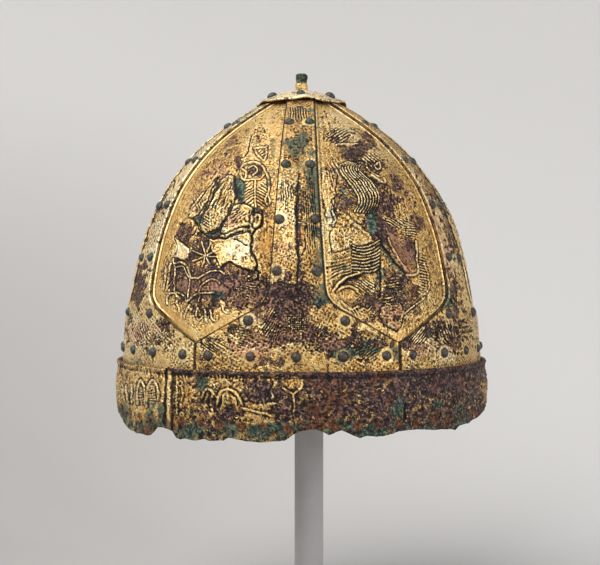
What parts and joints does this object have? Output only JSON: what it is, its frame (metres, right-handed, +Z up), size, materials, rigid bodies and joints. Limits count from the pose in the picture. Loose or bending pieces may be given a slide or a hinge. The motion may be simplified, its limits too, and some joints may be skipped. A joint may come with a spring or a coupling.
{
  "type": "spangenhelm on a post stand",
  "caption": "Late-antique spangenhelm: conical bowl of gilt plates held by riveted straps, a brow band with a ragged lower edge and a plume knob, standing on a plain grey post stand.",
  "frame": {"origin": "centre of the stand base's underside", "axes": "+Z up along the helmet's axis, the brow's front towards -Y"},
  "size_m": [0.2162, 0.2222, 0.3233],
  "materials": {
    "strap_gilt": "worn gilding with punch-dot ground, tarnish and verdigris",
    "plate_gilt": "worn gilding with chased ornament, purple-brown losses and verdigris",
    "band_gilt": "gilding largely lost, brown and purple corrosion, rust spots",
    "disc_gilt": "pinkish worn gilding",
    "dark_bronze": "dark green-black patina",
    "stand_paint": "matte grey paint"
  },
  "bodies": {
    "root": {"brow_band": "band_gilt", "spange_1": "strap_gilt", "spange_2": "strap_gilt", "spange_3": "strap_gilt", "spange_4": "strap_gilt", "spange_5": "strap_gilt", "spange_6": "strap_gilt", "infill_plate_1": "plate_gilt", "infill_plate_2": "plate_gilt", "infill_plate_3": "plate_gilt", "infill_plate_4": "plate_gilt", "infill_plate_5": "plate_gilt", "infill_plate_6": "plate_gilt", "apex_disc": "disc_gilt", "finial": "dark_bronze", "stand_base": "stand_paint", "stand_post": "stand_paint", "stand_cap": "stand_paint"}
  },
  "joints": []
}
